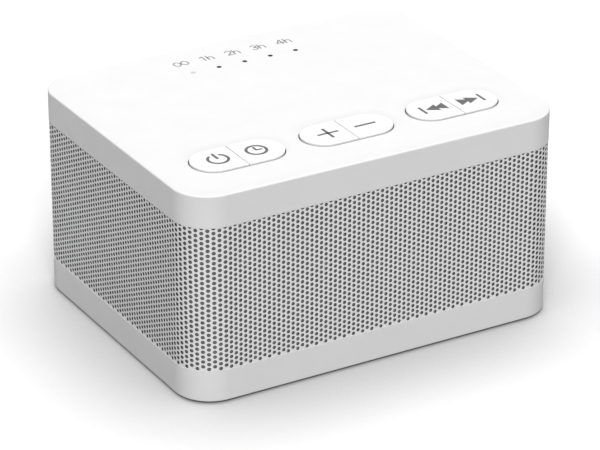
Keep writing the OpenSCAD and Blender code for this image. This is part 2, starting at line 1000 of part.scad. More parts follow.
bottom_tray();
base_pad();
top_cover();
grille_sleeve();
dust_cloth();
inner_frame();
key(-1, -1);  // key_power
key(-1, 1);  // key_timer
key(0, -1);  // key_volume_up
key(0, 1);  // key_volume_down
key(1, -1);  // key_previous
key(1, 1);  // key_next
plunger(-1, -1);  // plunger_power
plunger(-1, 1);  // plunger_timer
plunger(0, -1);  // plunger_volume_up
plunger(0, 1);  // plunger_volume_down
plunger(1, -1);  // plunger_previous
plunger(1, 1);  // plunger_next
switch(-1, -1);  // switch_power
switch(-1, 1);  // switch_timer
switch(0, -1);  // switch_volume_up
switch(0, 1);  // switch_volume_down
switch(1, -1);  // switch_previous
switch(1, 1);  // switch_next
lens(0);  // lens_endless
lens(1);  // lens_1h
lens(2);  // lens_2h
lens(3);  // lens_3h
lens(4);  // lens_4h
led(0);  // led_endless
led(1);  // led_1h
led(2);  // led_2h
led(3);  // led_3h
led(4);  // led_4h
control_board();
power_board();
power_inlet();
power_ribbon();
driver_basket();
driver_gasket();
driver_surround();
driver_cone();
driver_dust_cap();
driver_coil();
driver_spider();
driver_front_plate();
driver_magnet();
driver_yoke();
driver_lead(-1);  // driver_lead_left
driver_lead(1);  // driver_lead_right
driver_screw(0);  // driver_screw_1
driver_screw(1);  // driver_screw_2
driver_screw(2);  // driver_screw_3
driver_screw(3);  // driver_screw_4
housing_screw(1);  // housing_screw_1
housing_screw(2);  // housing_screw_2
housing_screw(3);  // housing_screw_3
housing_screw(4);  // housing_screw_4
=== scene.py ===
import math
import bpy
import numpy as np
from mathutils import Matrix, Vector


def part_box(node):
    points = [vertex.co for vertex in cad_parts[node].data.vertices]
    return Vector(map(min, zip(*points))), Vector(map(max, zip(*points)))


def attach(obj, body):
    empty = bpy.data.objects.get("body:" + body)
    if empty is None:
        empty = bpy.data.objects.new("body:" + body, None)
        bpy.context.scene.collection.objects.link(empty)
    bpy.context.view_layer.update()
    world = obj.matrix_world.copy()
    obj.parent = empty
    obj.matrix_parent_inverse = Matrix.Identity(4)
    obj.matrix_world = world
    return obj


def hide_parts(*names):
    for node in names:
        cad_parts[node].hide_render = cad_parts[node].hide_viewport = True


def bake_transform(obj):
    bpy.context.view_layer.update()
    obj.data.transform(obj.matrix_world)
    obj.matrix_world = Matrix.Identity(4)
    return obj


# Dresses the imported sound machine. Lengths in the dictionaries are millimetres and angles are degrees.
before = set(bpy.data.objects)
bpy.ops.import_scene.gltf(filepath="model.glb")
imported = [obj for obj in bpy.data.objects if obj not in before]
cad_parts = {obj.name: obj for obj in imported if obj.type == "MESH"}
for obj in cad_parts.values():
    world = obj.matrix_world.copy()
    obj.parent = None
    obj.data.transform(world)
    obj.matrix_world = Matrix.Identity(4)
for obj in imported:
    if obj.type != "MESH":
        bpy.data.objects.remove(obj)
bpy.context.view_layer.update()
mm = 0.001
scene = bpy.context.scene

camera = dict(place=(-371.36, -643.72, 375.11), aim=(-14.881, -27.243, 34.501), lens=195.9, sensor=36.0,
              near=10.0, far=20000.0)

eye = Vector(camera["place"]) * mm
camData = bpy.data.cameras.new("studioCamera")
camData.lens = camera["lens"]
camData.sensor_fit = "HORIZONTAL"
camData.sensor_width = camera["sensor"]
camData.clip_start, camData.clip_end = camera["near"] * mm, camera["far"] * mm
camObject = bpy.data.objects.new("studioCamera", camData)
camObject.location = eye
camObject.rotation_euler = (Vector(camera["aim"]) * mm - eye).to_track_quat("-Z", "Y").to_euler()
scene.collection.objects.link(camObject)
scene.camera = camObject
scene.view_settings.view_transform = "Standard"
print("camera: lens %.1f mm" % camera["lens"])


def linear(code):
    # sRGB hex to linear: v / 12.92 in the darkest part, else ((v + 0.055) / 1.055) to the power 2.4
    v = np.array([int(code[i:i + 2], 16) for i in (1, 3, 5)]) / 255
    low, high = v / 12.92, ((v + 0.055) / 1.055) ** 2.4
    return (*np.where(v <= 0.04045, low, high), 1.0)


def addNode(tree, kind, props=None, sockets=None):
    # one node with its settings; a socket's value is a number, a colour, or another node's output to link
    made = tree.nodes.new("ShaderNode" + kind)
    for key, value in (props or {}).items():
        setattr(made, key, value)
    for key, value in (sockets or {}).items():
        if isinstance(value, bpy.types.NodeSocket):
            tree.links.new(value, made.inputs[key])
        else:
            made.inputs[key].default_value = value
    return made


# floor is the floor's tone to the eye, floorBounce and sky are what lights the object; shade is how much painted
# shade darkens the floor's colour within shadeReach of the object, and shadeLean tips that painted shade to one side
room = dict(floor=1.0, floorBounce=0.08, sky=0.2, floorSize=6000.0, shade=0.86, shadeReach=40.0,
            shadeLean=(-0.1, 0.0), shadeSamples=8)
# each lamp is a sun that shines from azimuth, counted from the front towards the right, at height over the floor
lamps = dict(
    key=dict(azimuth=-29, height=41, power=2.4, spread=30),
    right=dict(azimuth=100, height=35, power=0.16, spread=40),
    back=dict(azimuth=150, height=57, power=0.45, spread=45),
    top=dict(azimuth=0, height=88, power=0.78, spread=60),
)


def seenDirectly(tree):
    # 1 where the camera looks straight at it or sees it in a gloss or through a clear piece, else 0
    path = addNode(tree, "LightPath")
    direct = addNode(tree, "Math", dict(operation="MAXIMUM"),
                     {0: path.outputs["Is Camera Ray"], 1: path.outputs["Is Glossy Ray"]})
    return addNode(tree, "Math", dict(operation="MAXIMUM"),
                   {0: direct.outputs[0], 1: path.outputs["Is Transmission Ray"]}).outputs[0]


def openSide(tree, reach, lean):
    # how much of its surroundings a point sees within reach millimetres, 1 in the open; the look is tipped from the
    # surface's normal towards lean, so that the painted shade that the floor and the finishes take from it lies more
    # on the far side of what stands up
    facing = addNode(tree, "NewGeometry").outputs["Normal"]
    way = addNode(tree, "VectorMath", dict(operation="ADD"), {0: facing, 1: (*lean, 0.0)})
    way = addNode(tree, "VectorMath", dict(operation="NORMALIZE"), {0: way.outputs[0]})
    return addNode(tree, "AmbientOcclusion", dict(samples=room["shadeSamples"]),
                   {"Distance": reach * mm, "Normal": way.outputs[0]}).outputs["AO"]


world = bpy.data.worlds.new("whiteRoom")
world.use_nodes = True
scene.world = world
tree = world.node_tree
tree.nodes.clear()
level = addNode(tree, "Mix", dict(data_type="FLOAT"), {0: seenDirectly(tree), 2: room["sky"], 3: 1.0})
sky = addNode(tree, "Background", None, {"Color": (1, 1, 1, 1), "Strength": level.outputs[0]})
addNode(tree, "OutputWorld", None, {"Surface": sky.outputs[0]})

paint = bpy.data.materials.new("matFloorPaint")
paint.use_nodes = True
tree = paint.node_tree
tree.nodes.clear()
# the floor is white to the eye and dull to the light that it sends back; close to the object, where less of the room
# reaches it, its colour is darkened a little more: painted shade that stands for the object's shadow
near = openSide(tree, room["shadeReach"], room["shadeLean"])
atWall = 0.5  # what a point at the foot of a tall wall sees of its surroundings
white = addNode(tree, "MapRange", None, {0: near, 1: atWall, 3: room["floor"] * (1 - room["shade"] * atWall),
                                         4: room["floor"]})
tone = addNode(tree, "Mix", dict(data_type="FLOAT"),
               {0: seenDirectly(tree), 2: room["floorBounce"], 3: white.outputs[0]})
matt = addNode(tree, "BsdfDiffuse", None, {"Color": tone.outputs[0], "Roughness": 0.0})
addNode(tree, "OutputMaterial", None, {"Surface": matt.outputs[0]})

size = room["floorSize"] * mm
floorMesh = bpy.data.meshes.new("studioFloor")
floorMesh.from_pydata([(-size, -size, 0), (size, -size, 0), (size, size, 0), (-size, size, 0)], [], [(0, 1, 2, 3)])
floorMesh.materials.append(paint)
floor = bpy.data.objects.new("studioFloor", floorMesh)
scene.collection.objects.link(floor)

for name, lamp in lamps.items():
    data = bpy.data.lights.new(name + "Light", "SUN")
    data.energy = lamp["power"]
    data.angle = math.radians(lamp["spread"])
    shine = bpy.data.objects.new(name + "Light", data)
    az, el = math.radians(lamp["azimuth"]), math.radians(lamp["height"])
    source = Vector((math.sin(az) * math.cos(el), -math.cos(az) * math.cos(el), math.sin(el)))
    shine.rotation_euler = source.to_track_quat("Z", "Y").to_euler()
    scene.collection.objects.link(shine)
print("room: floor and %d lamps" % len(lamps))

# pattern sizes are real ones in millimetres unless a note says that they are drawn coarser; depth is the pattern's
# height, blotch the size of the faint clouds in the second colour; a finish's shade reach and strength paint shade
# into its colour near corners, tipped towards its lean
finishes = dict(
    # injection-moulded ABS with a fine spark-eroded grain: an even, soft white without sharp reflections
    mouldedAbs=dict(colour="#F1F1F1", second="#EDEDED", roughness=0.5, ior=1.53, pattern="grain",
                    size=0.22, depth=0.004, blotch=9.0),
    # the same moulding where keys and lamps come through it; painted shade darkens it round the keys, more behind
    # them, away from the key lamp
    coverAbsPaintedShade=dict(colour="#F1F1F1", second="#EDEDED", roughness=0.5, ior=1.53, pattern="grain",
                         size=0.22, depth=0.004, blotch=9.0, paintedShadeReach=4.0, paintedShadeStrength=0.75, lean=(-0.19, -0.35)),
    # the same ABS from a finer cavity: keys read a touch whiter and glossier than the cover; painted shade darkens
    # their walls and the slit between a pair
    satinKeyAbs=dict(colour="#F7F7F7", second="#F4F4F4", roughness=0.42, ior=1.53, pattern="grain",
                     size=0.16, depth=0.003, blotch=5.0, paintedShadeReach=1.0, paintedShadeStrength=0.7),
    # powder-coated perforated steel: a silky white skin with a faint orange peel
    powderCoatedSteel=dict(colour="#F8F8F8", second="#F3F3F3", roughness=0.42, ior=1.5, pattern="peel",
                           size=0.9, depth=0.004, blotch=6.0),
    # the walls inside each hole: dull dark steel, painted shade that darkens the holes
    holeWallPaintedShade=dict(colour="#5A5A5E", second="#4C4C50", roughness=0.6, metallic=0.6, pattern="brushed",
                          size=0.1, depth=0.002, blotch=1.0),
    # woven acoustic cloth, 0.35 mm threads drawn at 0.5: grey, catches a little light on its threads
    wovenAcousticCloth=dict(colour="#8E8E90", second="#707072", roughness=0.9, ior=1.45, pattern="weave",
                            size=0.5, depth=0.05, blotch=4.0, sheen=0.15),
    # compression-moulded silicone rubber: grey and dull, with a matt bloom
    mouldedRubber=dict(colour="#767677", second="#6C6C6D", roughness=0.78, ior=1.43, pattern="grain",
                       size=0.3, depth=0.01, blotch=7.0),
    # black glass-filled ABS for inner parts: dull with faint flow marks
    blackInnerAbs=dict(colour="#2A2A2C", second="#222224", roughness=0.6, ior=1.53, pattern="grain",
                       size=0.3, depth=0.006, blotch=12.0),
    # clear polycarbonate light guide with its lamp on: pale and softly glowing
    litPolycarbonate=dict(colour="#D2D2D0", second="#CACAC8", roughness=0.3, ior=1.58, specular=0.3,
                          pattern="peel", size=0.6, depth=0.002, blotch=1.5, glow="#FFFAF0", glowPower=0.03),
    # smoked polycarbonate light guide with its lamp off: glossy, almost black
    smokedPolycarbonate=dict(colour="#070708", second="#040404", roughness=0.3, ior=1.58, specular=0.05,
                             pattern="peel", size=0.6, depth=0.001, blotch=1.5),
    # phosphor-filled silicone on a small surface-mount lamp: waxy yellow
    phosphorSilicone=dict(colour="#E5D68C", second="#D6C474", roughness=0.35, ior=1.43, pattern="grain",
                          size=0.15, depth=0.004, blotch=0.8),
    # glass-epoxy laminate under green solder mask: glossy, with copper tracks showing through as ridges
    solderMaskedLaminate=dict(colour="#1F6A3C", second="#2C8350", roughness=0.3, ior=1.55, pattern="tracks",
                              size=2.4, depth=0.03, blotch=2.4),
    # stamped nickel-plated steel shell: bright with drawing marks along it
    stampedNickel=dict(colour="#C9C8C4", second="#B9B8B4", roughness=0.28, metallic=1.0, pattern="brushed",
                       size=0.12, depth=0.003, blotch=2.0),
    # extruded PVC flat cable: grey, dull, ribbed by its wires
    extrudedPvc=dict(colour="#C0BFB9", second="#ABAAA4", roughness=0.55, ior=1.53, pattern="wires",
                     size=1.27, depth=0.12, blotch=5.0),
    # closed-cell polyethylene foam: black with small cells
    closedCellFoam=dict(colour="#2C2C2D", second="#1B1B1C", roughness=0.95, ior=1.45, pattern="cells",
                        size=0.5, depth=0.05, blotch=4.0),
    # moulded butyl rubber roll: dark and slightly waxy
    mouldedButyl=dict(colour="#333334", second="#2A2A2B", roughness=0.62, ior=1.52, pattern="peel",
                      size=0.8, depth=0.006, blotch=5.0),
    # felted paper pulp, coated: short fibres show as a fine mottling
    coatedPaperPulp=dict(colour="#4A4A4C", second="#3A3A3C", roughness=0.82, ior=1.47, pattern="fibre",
                         size=0.35, depth=0.02, blotch=2.0),
    # enamelled copper wire, 0.15 mm, wound side by side and drawn at 0.3: glossy orange-brown ribs
    woundEnamelledCopper=dict(colour="#C98548", second="#A9672F", roughness=0.26, metallic=1.0, pattern="rings",
                              size=0.3, depth=0.05, blotch=3.0),
    # phenolic-dipped cotton cloth: amber, stiff, open weave
    dippedCotton=dict(colour="#BE9D6A", second="#A48250", roughness=0.7, ior=1.5, pattern="weave",
                      size=0.6, depth=0.06, blotch=3.0),
    # turned steel, zinc plated: cool grey with faint turning rings
    zincPlatedSteel=dict(colour="#B8BBC2", second="#A6A9B0", roughness=0.34, metallic=1.0, pattern="brushed",
                         size=0.15, depth=0.004, blotch=3.0),
    # sintered ferrite: dark grey, gritty and dull
    sinteredFerrite=dict(colour="#3E3E42", second="#323236", roughness=0.7, ior=1.8, pattern="cells",
                         size=0.25, depth=0.012, blotch=3.0),
    # silicone-insulated lead: soft red jacket
    siliconeJacket=dict(colour="#9E2B2A", second="#8C2322", roughness=0.55, ior=1.43, pattern="grain",
                        size=0.3, depth=0.006, blotch=3.0),
    # pad-printed two-part ink, dark grey: dead matt and slightly uneven at 0.2 mm
    padPrintedDark=dict(colour="#666667", second="#5F5F60", roughness=0.75, ior=1.5, pattern="grain",
                        size=0.2, depth=0.002, blotch=1.2),
    # the same ink let down with white for the small timer signs
    padPrintedGrey=dict(colour="#949495", second="#8C8C8D", roughness=0.75, ior=1.5, pattern="grain",
                        size=0.2, depth=0.002, blotch=1.2),
    # hard gold over nickel on the socket's contacts
    goldPlating=dict(colour="#E2B765", second="#D2A555", roughness=0.25, metallic=1.0, pattern="peel",
                     size=0.2, depth=0.002, blotch=0.6),
)


# what all finishes share: the part of the clouds in the colour's mix, where a cloud starts and is full, how far the
# roughness goes down and up with the pattern, and the noises' stretch along X, Y and Z
mixing = dict(clouds=0.5, cloudStart=0.35, cloudFull=0.65, smoother=0.94, rougher=1.08, trackWidth=0.09,
              stretch=dict(grain=(1, 1, 1), peel=(1, 1, 1), brushed=(0.06, 0.06, 1), fibre=(1, 0.35, 1)))


def patternHeight(tree, kind, size, point):
    # a value from 0 to 1 that repeats at the pattern's size; a noise has two of its cells in one size
    fine = 1 / (size * mm)
    if kind in mixing["stretch"]:
        drawn = addNode(tree, "Mapping", None, {"Vector": point, "Scale": mixing["stretch"][kind]})
        return addNode(tree, "TexNoise", None, {"Vector": drawn.outputs[0], "Scale": fine / 2,
                       "Detail": 0.0 if kind == "peel" else 3.0, "Roughness": 0.6}).outputs[0]
    if kind == "cells":
        return addNode(tree, "TexVoronoi", None, {"Vector": point, "Scale": fine}).outputs["Distance"]
    if kind == "tracks":
        # narrow raised lines round the cells of a square grid
        cell = addNode(tree, "TexVoronoi", dict(feature="DISTANCE_TO_EDGE"),
                       {"Vector": point, "Scale": fine / 2, "Randomness": 0.35})
        return addNode(tree, "Math", dict(operation="LESS_THAN"),
                       {0: cell.outputs["Distance"], 1: mixing["trackWidth"]}).outputs[0]
    # sine waves: along x + y and up z for a weave, z alone for rings, x alone for wires
    axes = addNode(tree, "SeparateXYZ", None, {0: point})
    turn = 2 * math.pi * fine
    run = addNode(tree, "Math", dict(operation="ADD"), {0: axes.outputs[0], 1: axes.outputs[1]})
    first = dict(weave=run.outputs[0], rings=axes.outputs[2], wires=axes.outputs[0])[kind]
    wave = addNode(tree, "Math", dict(operation="MULTIPLY"), {0: first, 1: turn})
    wave = addNode(tree, "Math", dict(operation="SINE"), {0: wave.outputs[0]})
    if kind == "weave":
        other = addNode(tree, "Math", dict(operation="MULTIPLY"), {0: axes.outputs[2], 1: turn})
        other = addNode(tree, "Math", dict(operation="SINE"), {0: other.outputs[0]})
        wave = addNode(tree, "Math", dict(operation="MULTIPLY"), {0: wave.outputs[0], 1: other.outputs[0]})
    return addNode(tree, "Math", dict(operation="MULTIPLY_ADD"), {0: wave.outputs[0], 1: 0.5, 2: 0.5}).outputs[0]


def makeFinish(name, look):
    # the colour goes to the second one with the pattern's height and the clouds, half each, and so does the roughness
    # from its lower to its higher value; the height alone makes the bump; a finish with a shade reach also gets
    # painted shade multiplied into its colour near corners
    made = bpy.data.materials.new(name)
    made.use_nodes = True
    tree = made.node_tree
    tree.nodes.clear()
    point = addNode(tree, "TexCoord").outputs["Object"]
    height = patternHeight(tree, look["pattern"], look["size"], point)
    cloud = addNode(tree, "TexNoise", None, {"Vector": point, "Scale": 1 / (look["blotch"] * mm), "Detail": 2.0})
    blotch = addNode(tree, "MapRange", None, {0: cloud.outputs[0], 1: mixing["cloudStart"], 2: mixing["cloudFull"]})
    share = addNode(tree, "Mix", dict(data_type="FLOAT"), {0: mixing["clouds"], 2: height, 3: blotch.outputs[0]})
    colour = addNode(tree, "Mix", dict(data_type="RGBA"),
                     {0: share.outputs[0], 6: linear(look["colour"]), 7: linear(look["second"])})
    rough = addNode(tree, "MapRange", None, {0: share.outputs[0], 3: look["roughness"] * mixing["smoother"],
                                             4: min(1.0, look["roughness"] * mixing["rougher"])})
    bump = addNode(tree, "Bump", None, {"Strength": 1.0, "Distance": look["depth"] * mm, "Height": height})
    tint = colour.outputs[2]
    if "paintedShadeReach" in look:
        # painted shade in the seams: the colour is darkened within the finish's reach in millimetres of a corner, by
        # up to its given strength; flat is what a level surface sees of its surroundings when the look is tipped
        lean = look.get("lean", (0.0, 0.0))
        flat = (1 + 1 / math.hypot(*lean, 1)) / 2
        paintedShadeFactor = addNode(tree, "MapRange", None, {0: openSide(tree, look["paintedShadeReach"], lean), 2: flat,
                                                3: 1 - look["paintedShadeStrength"], 4: 1.0})
        tint = addNode(tree, "Mix", dict(data_type="RGBA", blend_type="MULTIPLY"),
                       {0: 1.0, 6: tint, 7: paintedShadeFactor.outputs[0]}).outputs[2]
    sockets = {"Base Color": tint, "Roughness": rough.outputs[0], "Normal": bump.outputs[0],
               "Metallic": look.get("metallic", 0.0), "Sheen Weight": look.get("sheen", 0.0),
               "Specular IOR Level": look.get("specular", 0.5)}
    if "ior" in look:
        sockets["IOR"] = look["ior"]
    if "glow" in look:
        sockets["Emission Color"] = linear(look["glow"])
        sockets["Emission Strength"] = look["glowPower"]
    shader = addNode(tree, "BsdfPrincipled", None, sockets)
    addNode(tree, "OutputMaterial", None, {"Surface": shader.outputs[0]})
    return made


materials = {name: makeFinish(name, look) for name, look in finishes.items()}

slotFinish = dict(
    white_plastic="mouldedAbs", key_plastic="satinKeyAbs", base_rubber="mouldedRubber",
    grille_metal="powderCoatedSteel", dust_cloth="wovenAcousticCloth", black_plastic="blackInnerAbs",
    lamp_lit="litPolycarbonate", lamp_dark="smokedPolycarbonate", led_cream="phosphorSilicone",
    board_green="solderMaskedLaminate", inlet_steel="stampedNickel", ribbon_grey="extrudedPvc",
    gasket_foam="closedCellFoam", surround_rubber="mouldedButyl", cone_paper="coatedPaperPulp",
    coil_copper="woundEnamelledCopper", spider_cloth="dippedCotton", plated_steel="zincPlatedSteel",
    magnet_ferrite="sinteredFerrite", lead_jacket="siliconeJacket",
)
# the top cover takes the finish with painted shade round the keys
nodeFinish = dict(top_cover="coverAbsPaintedShade")
for name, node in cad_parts.items():
    for place in node.material_slots:
        place.material = materials[nodeFinish.get(name, slotFinish[place.material.name.split(".")[0]])]
print("finishes: %d" % len(materials))


def slidingCircle(s, halfX, halfY, arc):
    # a rounded rectangle: a circle whose centre slides round a rectangle of halfX by halfY, while its normal
    # turns a quarter at each corner; s is the length run from the middle of the front, arc of it at each corner
    steps = np.cumsum([0, halfX, arc, 2 * halfY, arc, 2 * halfX, arc, 2 * halfY, arc, halfX])
    s = np.mod(s, steps[-1])
    x = np.interp(s, steps, halfX * np.array([0, 1, 1, 1, 1, -1, -1, -1, -1, 0]))
    y = np.interp(s, steps, halfY * np.array([-1, -1, -1, 1, 1, 1, 1, -1, -1, -1]))
    turn = np.radians(np.interp(s, steps, [-90, -90, 0, 0, 90, 90, 180, 180, 270, 270]))
    return np.stack([x, y], -1), np.stack([np.cos(turn), np.sin(turn)], -1)


def loft(rings, endless=False):
    # rings is (rows, points around, 3): neighbouring rings are joined by four-sided faces, and the two ends are
    # closed by one face each, or joined to each other
    rows, around = rings.shape[:2]
    i = np.arange(rows if endless else rows - 1)[:, None]
    j = np.arange(around)[None]
    here, after = i * around, (i + 1) % rows * around
    right = (j + 1) % around
    quads = np.stack([here + j, here + right, after + right, after + j], -1).reshape(-1, 4).tolist()
    if not endless:
        quads.append(np.arange(around)[::-1].tolist())
        quads.append(((rows - 1) * around + np.arange(around)).tolist())
    return rings.reshape(-1, 3), quads


sharpFrom = dict(piece=35, grille=40)


def makePiece(name, parts, finish):
    # joins lofted parts in one mesh, in millimetres, shaded smooth except over edges that turn by more than sharpFrom
    starts = np.cumsum([0] + [len(p[0]) for p in parts])
    points = np.concatenate([p[0] for p in parts]) * mm
    faces = [[v + int(k) for v in face] for k, p in zip(starts, parts) for face in p[1]]
    mesh = bpy.data.meshes.new(name)
    mesh.from_pydata(points.tolist(), [], faces)
    mesh.materials.append(materials[finish])
    mesh.shade_smooth()
    mesh.set_sharp_from_angle(angle=math.radians(sharpFrom["piece"]))
    made = bpy.data.objects.new(name, mesh)
    scene.collection.objects.link(made)
    return made


# the perforated grille is one sheet wrapped round the housing; every second column of holes is half a pitch lower,
# and the sheet has stretched at the bends, so that arc, its flat length there, is less than the bend's own
grille = dict(halfX=42.5, halfY=31.75, radius=9.4, arc=13.466, thickness=0.4, low=8.8, trim=0.05, pitch=1.3,
              rows=29, columns=270, holeD=0.92, start=-0.14, pieces=4)


def grilleCell(kind):
    # one pitch of the sheet with its hole, flat: six points on the cell's edge, from the right upper corner round,
    # then the hole's twelve; a half cell at the sheet's end keeps the four upper edge points and half a hole, and
    # a plain one keeps the edge points alone; gives the points, the faces, and the hole's sides for its wall
    r = grille["holeD"] / 2
    turn = np.radians(np.arange(15, 375 if kind == "whole" else 180, 30))
    hole = r * np.stack([np.cos(turn), np.sin(turn)], -1)
    if kind == "whole":
        edge = np.array([[1, 1], [-1, 1], [-1, 0], [-1, -1], [1, -1], [1, 0]])
        faces3 = [(5, 6, 17), (0, 8, 7), (1, 10, 9), (2, 12, 11), (3, 14, 13), (4, 16, 15)]
        faces4 = [(5, 0, 7, 6), (0, 1, 9, 8), (1, 2, 11, 10), (2, 3, 13, 12), (3, 4, 15, 14), (4, 5, 17, 16)]
        rim = [(6 + k, 6 + (k + 1) % 12) for k in range(12)]
        return edge, hole, faces3, faces4, rim
    edge = np.array([[1, 1], [-1, 1], [-1, 0], [1, 0]])
    if kind == "plain":
        return edge, np.zeros((0, 2)), np.zeros((0, 3), int), [(0, 1, 2, 3)], np.zeros((0, 2), int)
    cut = grille["trim"]
    side = math.sqrt(r * r - cut * cut)
    hole = np.concatenate([[[side, cut]], hole, [[-side, cut]]])
    faces3 = [(0, 6, 5), (0, 7, 6), (1, 9, 8), (1, 10, 9)]
    faces4 = [(3, 0, 5, 4), (0, 1, 8, 7), (1, 2, 11, 10)]
    rim = [(4 + k, 5 + k) for k in range(7)]
    return edge, hole, faces3, faces4, rim


def grillePart(first, last):
    # the columns from first up to last: their cells laid out flat and joined, wrapped round the housing, and stepped
    # in by the thickness for the inner side; the count returned last is of the faces on the sheet's two sides, and
    # the faces after them, the holes' walls and the sheet's edges, get the painted hole shade
    g = grille
    run = 4 * (g["halfX"] + g["halfY"] + g["arc"])
    step = run / g["columns"]
    high = g["low"] + g["rows"] * g["pitch"]
    columns = np.arange(first, last)
    odd = columns % 2 == 1
    # the cells' places are counted in half columns and half rows, and each point on a cell's edge gets one number
    # from its place, stride apart for each half column, by which the cells are joined
    stride = 1000
    kinds = [
        ("whole", columns[~odd], 2 * np.arange(g["rows"]) + 1, 1),
        ("whole", columns[odd], 2 * np.arange(g["rows"] - 1) + 2, 1),
        ("plain", columns[odd], np.array([0]), 1),
        ("half", columns[odd], np.array([2 * g["rows"]]), -1),
    ]
    marks, places, tris, quads, walls = [], [], [], [], []
    count = 0
    for kind, cols, rows, up in kinds:
        edge, hole, faces3, faces4, rim = grilleCell(kind)
        c, k = [a.ravel() for a in np.meshgrid(cols, rows, indexing="ij")]
        cells = len(c)
        edgeCol = 2 * c[:, None] + edge[None, :, 0]
        edgeRow = k[:, None] + up * edge[None, :, 1]
        middle = g["low"] + k * g["pitch"] / 2
        s = np.concatenate([edgeCol * step / 2, c[:, None] * step + hole[None, :, 0]], 1)
        z = np.concatenate([g["low"] + edgeRow * g["pitch"] / 2, middle[:, None] + up * hole[None, :, 1]], 1)
        z = np.clip(z, g["low"] + g["trim"], high - g["trim"])
        n = s.shape[1]
        own = count + np.arange(cells)[:, None] * n + np.arange(n)[None]
        mark = -1 - own
        mark[:, :edge.shape[0]] = (edgeCol + 1) * stride + edgeRow
        marks.append(mark.ravel())
        places.append(np.stack([s.ravel(), z.ravel()], -1))
        base = own[:, :1, None]
        for kept, faces in ((tris, faces3), (quads, faces4), (walls, rim)):
            faces = np.array(faces)
            kept.append((base + faces[None, :, ::up]).reshape(-1, faces.shape[1]))
        count += cells * n
    unique, index, inverse = np.unique(np.concatenate(marks), return_index=True, return_inverse=True)
    places = np.concatenate(places)[index]
    total = len(unique)
    tris, quads, walls = [inverse[np.concatenate(kept)] for kept in (tris, quads, walls)]
    # the sheet's own edges: lower and upper runs and the two upright ends, found as sides that only one face has
    sides = np.concatenate([tris[:, [0, 1]], tris[:, [1, 2]], tris[:, [2, 0]],
                            quads[:, [0, 1]], quads[:, [1, 2]], quads[:, [2, 3]], quads[:, [3, 0]], walls[:, ::-1]])
    pair = np.sort(sides, 1)
    _, where, times = np.unique(pair[:, 0] * total + pair[:, 1], return_index=True, return_counts=True)
    walls = np.concatenate([walls[:, ::-1], sides[where[times == 1]]])
    centre, normal = slidingCircle(places[:, 0] + g["start"], g["halfX"], g["halfY"], g["arc"])
    layers = [np.concatenate([centre + normal * (g["radius"] - deep), places[:, 1:]], 1)
              for deep in (0.0, g["thickness"])]
    points = np.concatenate(layers) * mm
    upright = np.stack([walls[:, 1], walls[:, 0], walls[:, 0] + total, walls[:, 1] + total], -1)
    fours = np.concatenate([quads, quads[:, ::-1] + total, upright])
    threes = np.concatenate([tris, tris[:, ::-1] + total])
    sheetSideFaces = len(threes) + 2 * len(quads)
    return points, threes, fours, sheetSideFaces


def makeGrille():
    g = grille
    bounds = [round(g["columns"] * k / g["pieces"]) for k in range(g["pieces"] + 1)]
    for k in range(g["pieces"]):
        points, threes, fours, sheetSideFaces = grillePart(bounds[k], bounds[k + 1])
        name = "grilleSheet%d" % (k + 1)
        mesh = bpy.data.meshes.new(name)
        mesh.vertices.add(len(points))
        mesh.vertices.foreach_set("co", points.astype(np.float32).ravel())
        mesh.loops.add(threes.size + fours.size)
        mesh.loops.foreach_set("vertex_index", np.concatenate([threes.ravel(), fours.ravel()]).astype(np.int32))
        mesh.polygons.add(len(threes) + len(fours))
        starts = np.concatenate([np.arange(len(threes)) * 3, threes.size + np.arange(len(fours)) * 4])
        mesh.polygons.foreach_set("loop_start", starts.astype(np.int32))
        mesh.update(calc_edges=True)
        mesh.validate()
        # the sheet's two sides are powder-coated; the holes' walls and the sheet's edges get the painted hole shade
        mesh.materials.append(materials["powderCoatedSteel"])
        mesh.materials.append(materials["holeWallPaintedShade"])
        mesh.polygons.foreach_set("material_index", (np.arange(len(threes) + len(fours)) >= sheetSideFaces).astype(np.int32))
        mesh.shade_smooth()
        mesh.set_sharp_from_angle(angle=math.radians(sharpFrom["grille"]))
        made = bpy.data.objects.new(name, mesh)
        scene.collection.objects.link(made)
        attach(made, "housing")
        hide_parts("grille_sleeve")
        print("grille: %s %d triangles" % (name, len(threes) + 2 * len(fours)))


makeGrille()

# a pair of keys is a pill, length by width, cut by the slit; each cap is hollow under its wall, has a lip that keeps
# it in the cover, and a stem down to its plunger; the last line holds counts of points
keys = dict(length=24.5, width=11.9, pitch=30.2, row=-23.95, slit=0.14, top=55.4, ink=0.015, rounding=0.15,
            slitRounding=0.4, band=0.3, inset=0.15, wall=1.2, lip=0.8, lipLow=51.9, lipHigh=52.7,
            stemD=3.0, stemX=5.2, stemLow=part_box("plunger_power")[1].z / mm, stemInto=0.2,
            arcPoints=40, sideSteps=6, roundingPoints=6, stemPoints=30)
# the pair, -1, 0 or 1 from the left, and the half of the pair
keyPlaces = dict(power=(-1, -1), timer=(-1, 1), volume_up=(0, -1), volume_down=(0, 1), previous=(1, -1), next=(1, 1))


def halfPill():
    # half a stadium, flat side towards its pair: along the front, round the end, back along the rear and down the
    # flat side; gives each point, the way its rounded side faces, and how far the flat side carries it
    r, x0, x1 = keys["width"] / 2, keys["slit"] / 2, keys["length"] / 2 - keys["width"] / 2
    steps = keys["sideSteps"]
    turn = np.linspace(-math.pi / 2, math.pi / 2, keys["arcPoints"])
    share = np.linspace(0, 1, steps + 1)
    run, between = share[:-1], share[1:-1]
    onward = run + 1 / steps
    around = np.stack([np.cos(turn), np.sin(turn)], -1)
    front = np.stack([x0 + (x1 - x0) * run, np.full(steps, -r)], -1)
    rear = np.stack([x1 + (x0 - x1) * onward, np.full(steps, r)], -1)
    flat = np.stack([np.full(steps - 1, x0), r * (1 - 2 * between)], -1)
    points = np.concatenate([front, [x1, 0] + r * around, rear, flat])
    # along the flat side the rounded sides' steps run from full at one corner to full at the other
    fade = np.stack([0 * between, 1 - 2 * between], -1)
    out = np.concatenate([np.tile([0, -1], (steps, 1)), around, np.tile([0, 1], (steps, 1)), fade])
    carry = np.concatenate([1 - run, 0 * turn, onward, np.ones(steps - 1)])
    return points, out, carry


